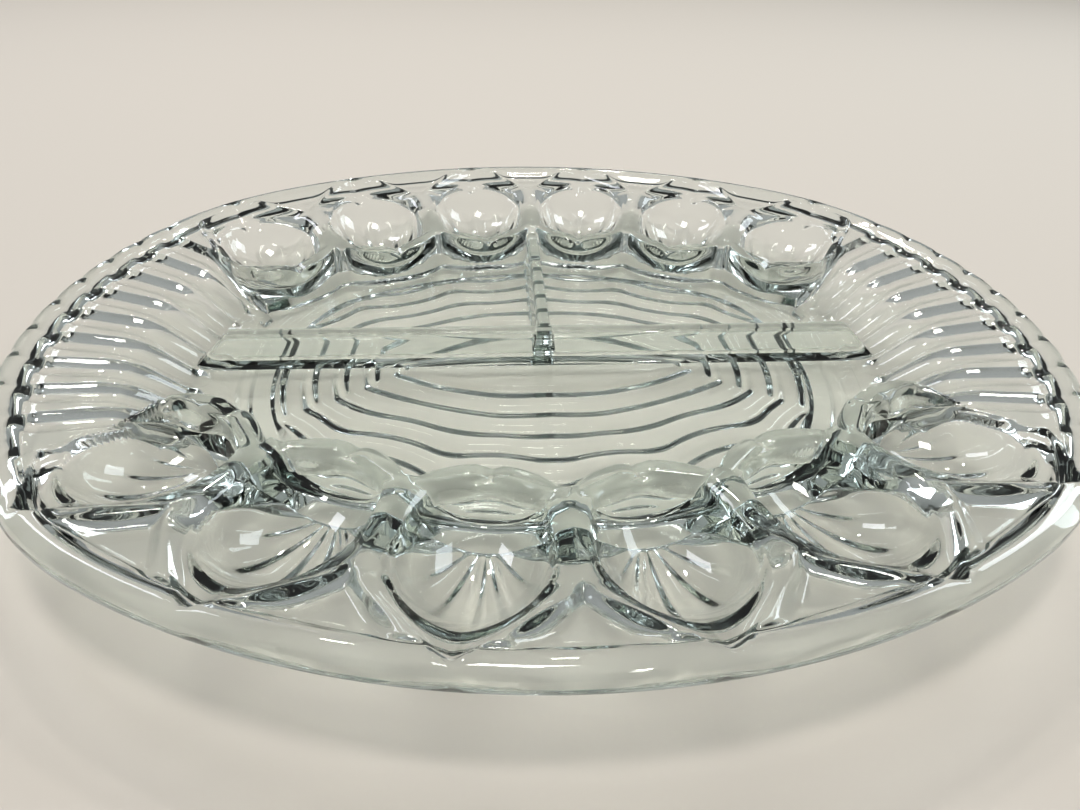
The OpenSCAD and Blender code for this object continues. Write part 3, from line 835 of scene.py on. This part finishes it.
def glass_surface(nodes, links):
    """Clear glass with a faint ripple."""
    glass = nodes.new("ShaderNodeBsdfPrincipled")
    glass.inputs["Base Color"].default_value = GLASS_TINT
    glass.inputs["Roughness"].default_value = GLASS_ROUGHNESS
    glass.inputs["IOR"].default_value = GLASS_IOR
    glass.inputs["Transmission Weight"].default_value = 1.0
    coords = nodes.new("ShaderNodeTexCoord")
    noise = nodes.new("ShaderNodeTexNoise")
    noise.inputs["Scale"].default_value = RIPPLE_SCALE
    noise.inputs["Detail"].default_value = RIPPLE_DETAIL
    bump = nodes.new("ShaderNodeBump")
    bump.inputs["Strength"].default_value = RIPPLE_STRENGTH
    bump.inputs["Distance"].default_value = RIPPLE_DEPTH
    links.new(coords.outputs["Object"], noise.inputs["Vector"])
    links.new(noise.outputs["Fac"], bump.inputs["Height"])
    links.new(bump.outputs["Normal"], glass.inputs["Normal"])
    return glass


def glass_shadow(nodes, links):
    """What shadow rays see: little light through steep glass, and more through flat glass."""
    clear = nodes.new("ShaderNodeBsdfTransparent")
    geometry = nodes.new("ShaderNodeNewGeometry")
    split = nodes.new("ShaderNodeSeparateXYZ")
    upright = nodes.new("ShaderNodeMath")
    upright.operation = "ABSOLUTE"
    shade = nodes.new("ShaderNodeValToRGB")
    set_ramp(shade, SHADOW_STEEP, SHADOW_FLAT)
    links.new(geometry.outputs["Normal"], split.inputs[0])
    links.new(split.outputs["Z"], upright.inputs[0])
    links.new(upright.outputs[0], shade.inputs["Fac"])
    links.new(shade.outputs["Color"], clear.inputs["Color"])
    return clear


def glass_material():
    """Glass with its body colour, and a shadow of its own."""
    mat, nodes, links = new_material("pressed_glass")
    out = nodes.new("ShaderNodeOutputMaterial")
    path = nodes.new("ShaderNodeLightPath")
    blend = nodes.new("ShaderNodeMixShader")
    links.new(path.outputs["Is Shadow Ray"], blend.inputs[0])
    links.new(glass_surface(nodes, links).outputs[0], blend.inputs[1])
    links.new(glass_shadow(nodes, links).outputs[0], blend.inputs[2])
    links.new(blend.outputs[0], out.inputs["Surface"])
    absorb = nodes.new("ShaderNodeVolumeAbsorption")
    absorb.inputs["Color"].default_value = ABSORB_TINT
    absorb.inputs["Density"].default_value = ABSORB_DENSITY
    links.new(absorb.outputs[0], out.inputs["Volume"])
    return mat


def floor_material():
    """Plain matt floor."""
    mat, nodes, links = new_material("plain_floor")
    out = nodes.new("ShaderNodeOutputMaterial")
    floor = nodes.new("ShaderNodeBsdfPrincipled")
    floor.inputs["Base Color"].default_value = FLOOR_COLOUR
    floor.inputs["Roughness"].default_value = FLOOR_ROUGHNESS
    floor.inputs["Specular IOR Level"].default_value = FLOOR_SPECULAR
    links.new(floor.outputs[0], out.inputs["Surface"])
    return mat


def add_floor():
    """Wide flat floor, staged so that it isn't part of the platter."""
    half, z = FLOOR_HALF, -FLOOR_GAP
    corners = [(-half, -half, z), (half, -half, z), (half, half, z), (-half, half, z)]
    mesh = bpy.data.meshes.new("floor")
    mesh.from_pydata(corners, [], [(0, 1, 2, 3)])
    obj = bpy.data.objects.new("floor", mesh)
    bpy.context.scene.collection.objects.link(obj)
    obj.data.materials.append(floor_material())


platter = add_mesh("platter_glass", *mesh_platter())
platter.data.materials.append(glass_material())
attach(platter, "root")
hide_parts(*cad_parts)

add_floor()

# Lamps aim at the platter's middle: name, place, width and height, watts, colour
LAMPS = (
    ("window_right", (0.90, 0.56, 0.80), (0.35, 0.45), 3.6, (0.86, 0.94, 1.0)),
    ("soft_top", (-0.05, -0.1, 1.6), (0.3, 0.3), 9.5, (1.0, 0.97, 0.93)),
    ("window_left", (-0.70, 0.65, 0.88), (0.16, 0.5), 2.4, (0.90, 0.92, 1.0)),
    ("lamp_back_a", (-0.35, 1.0, 1.25), (0.07, 0.07), 3.0, (1.0, 0.96, 0.9)),
    ("lamp_back_b", (0.15, 1.05, 1.3), (0.07, 0.07), 3.0, (1.0, 0.96, 0.9)),
    ("lamp_front", (0.4, -1.2, 1.3), (0.08, 0.08), 2.5, (1.0, 0.97, 0.92)),
)
# World light: dim grey near the horizon, pale overhead
WORLD_LOW = (0.05, (0.42, 0.45, 0.44, 1))
WORLD_HIGH = (0.75, (0.85, 0.87, 0.86, 1))
WORLD_STRENGTH = 0.46


def add_lamp(name, place, size, power, colour):
    """Rectangular area lamp that aims at the origin."""
    lamp = bpy.data.lights.new(name, "AREA")
    lamp.shape = "RECTANGLE"
    lamp.size, lamp.size_y = size
    lamp.energy = power
    lamp.color = colour
    obj = bpy.data.objects.new(name, lamp)
    obj.location = place
    obj.rotation_euler = (-Vector(place)).to_track_quat("-Z", "Y").to_euler()
    bpy.context.scene.collection.objects.link(obj)


def add_world():
    """World light from a ramp on height."""
    world = bpy.data.worlds.new("studio")
    world.use_nodes = True
    nodes, links = world.node_tree.nodes, world.node_tree.links
    coords = nodes.new("ShaderNodeTexCoord")
    split = nodes.new("ShaderNodeSeparateXYZ")
    ramp = nodes.new("ShaderNodeValToRGB")
    set_ramp(ramp, WORLD_LOW, WORLD_HIGH)
    links.new(coords.outputs["Generated"], split.inputs[0])
    links.new(split.outputs["Z"], ramp.inputs["Fac"])
    links.new(ramp.outputs["Color"], nodes["Background"].inputs["Color"])
    nodes["Background"].inputs["Strength"].default_value = WORLD_STRENGTH
    bpy.context.scene.world = world


for lamp_row in LAMPS:
    add_lamp(*lamp_row)
add_world()

# Camera, fitted to the photo: place in millimetres, turns in radians, focal length in pixels
CAMERA_AT = Vector((-17.667, -214.615, 144.539)) * MM
CAMERA_YAW = 0.078
CAMERA_DOWN = 0.630
CAMERA_ROLL = -0.027
FOCAL_PX = 749.0
IMAGE_W = 1080.0
SENSOR = 36.0  # width in millimetres
CLIP_START = 0.01


def add_camera():
    """Camera from its place, yaw, downward tilt and roll."""
    level = math.cos(CAMERA_DOWN)
    ahead = Vector(
        (math.sin(CAMERA_YAW) * level, math.cos(CAMERA_YAW) * level, -math.sin(CAMERA_DOWN))
    )
    right = Vector((math.cos(CAMERA_YAW), -math.sin(CAMERA_YAW), 0))
    down = ahead.cross(right)
    rolled_right = math.cos(CAMERA_ROLL) * right + math.sin(CAMERA_ROLL) * down
    rolled_down = -math.sin(CAMERA_ROLL) * right + math.cos(CAMERA_ROLL) * down
    turn = Matrix((rolled_right, -rolled_down, -ahead)).transposed()
    data = bpy.data.cameras.new("camera")
    data.sensor_width = SENSOR
    data.lens = FOCAL_PX / IMAGE_W * SENSOR
    data.clip_start = CLIP_START
    obj = bpy.data.objects.new("camera", data)
    obj.matrix_world = Matrix.Translation(CAMERA_AT) @ turn.to_4x4()
    bpy.context.scene.collection.objects.link(obj)
    bpy.context.scene.camera = obj


add_camera()

bpy.context.scene.view_settings.view_transform = "Standard"
